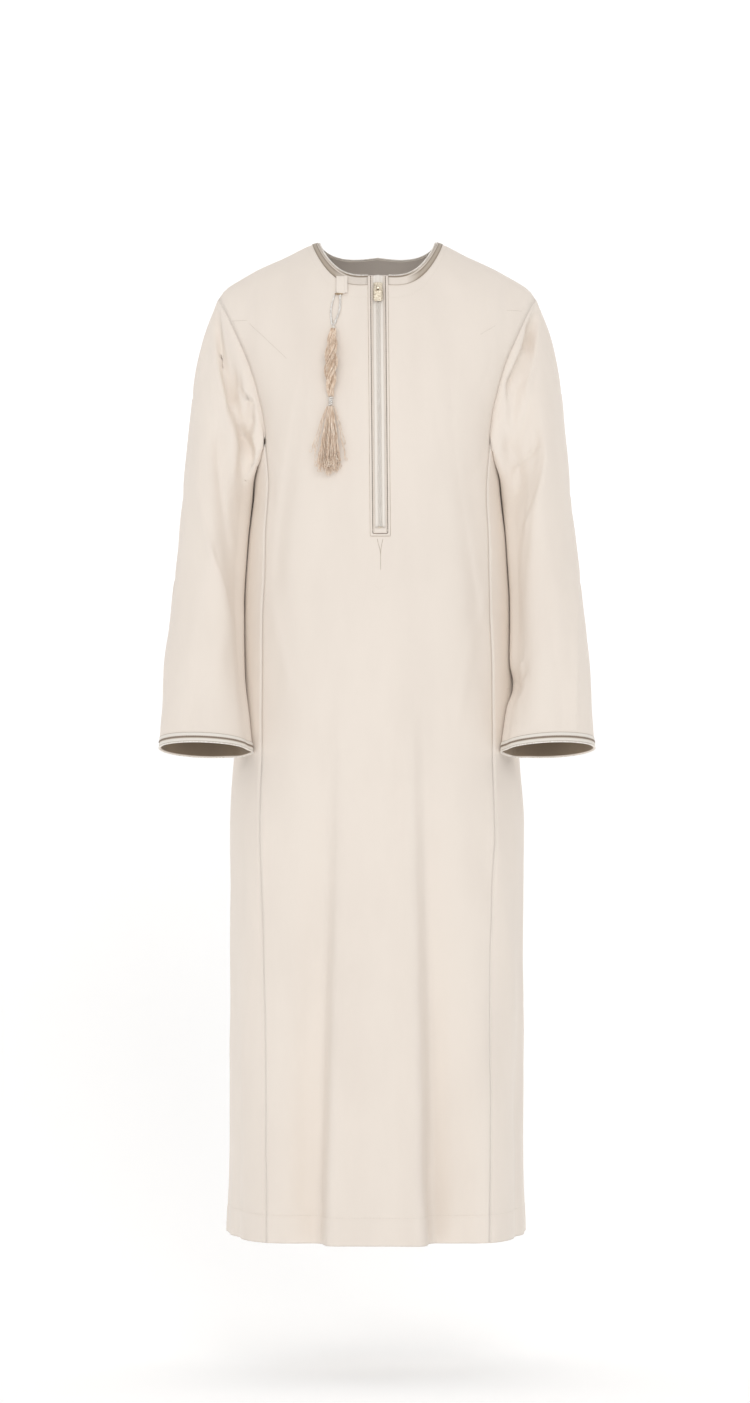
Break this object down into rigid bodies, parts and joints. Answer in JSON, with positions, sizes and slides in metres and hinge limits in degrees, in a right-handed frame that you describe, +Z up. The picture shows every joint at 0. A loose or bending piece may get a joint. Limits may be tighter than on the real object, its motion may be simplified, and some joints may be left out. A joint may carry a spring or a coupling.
{
  "type": "thobe robe",
  "caption": "Worn ankle length collarless robe with long banded sleeves, a zipped placket with a swinging pull tab and a tassel at the neck.",
  "frame": {"origin": "centre of the neck opening, level with the high points of the shoulders, where the wearer's shoulders hold the robe", "axes": "+Z up along the robe's length, the front faces -Y, +X is the wearer's left"},
  "size_m": [0.5936, 0.3256, 1.367],
  "materials": {
    "robe_cloth": "smooth matt cream suiting with a slight sheen",
    "trim_taupe": "taupe banding with rows of stitching",
    "piping_pale": "pale satin cord",
    "silver_thread": "twisted silver white thread",
    "tassel_floss": "soft taupe floss with a silky sheen",
    "zip_metal": "pale gold plating",
    "zip_cloth": "woven zip tape"
  },
  "bodies": {
    "robe": {"front_panel": "robe_cloth", "back_panel": "robe_cloth", "side_panel_right": "robe_cloth", "side_panel_left": "robe_cloth", "sleeve_right": "robe_cloth", "sleeve_left": "robe_cloth", "cuff_band_right": "trim_taupe", "cuff_band_left": "trim_taupe", "neck_band": "trim_taupe", "neck_piping": "piping_pale", "placket_frame": "robe_cloth", "zip_tape": "zip_cloth", "zip_slider": "zip_metal", "tassel_tab": "robe_cloth", "tassel_cord_loop": "silver_thread", "tassel_bead": "silver_thread", "tassel_skein": "tassel_floss", "tassel_binding": "silver_thread", "tassel_skirt": "tassel_floss"},
    "pull_tab": {"zip_pull": "zip_metal"}
  },
  "joints": [
    {"name": "pull_swing", "type": "hinge", "parent": "robe", "child": "pull_tab", "pos_m": [0.00129, -0.10054, -0.07216], "axis": [-1, 0, 0], "range_deg": [0, 120]}
  ]
}
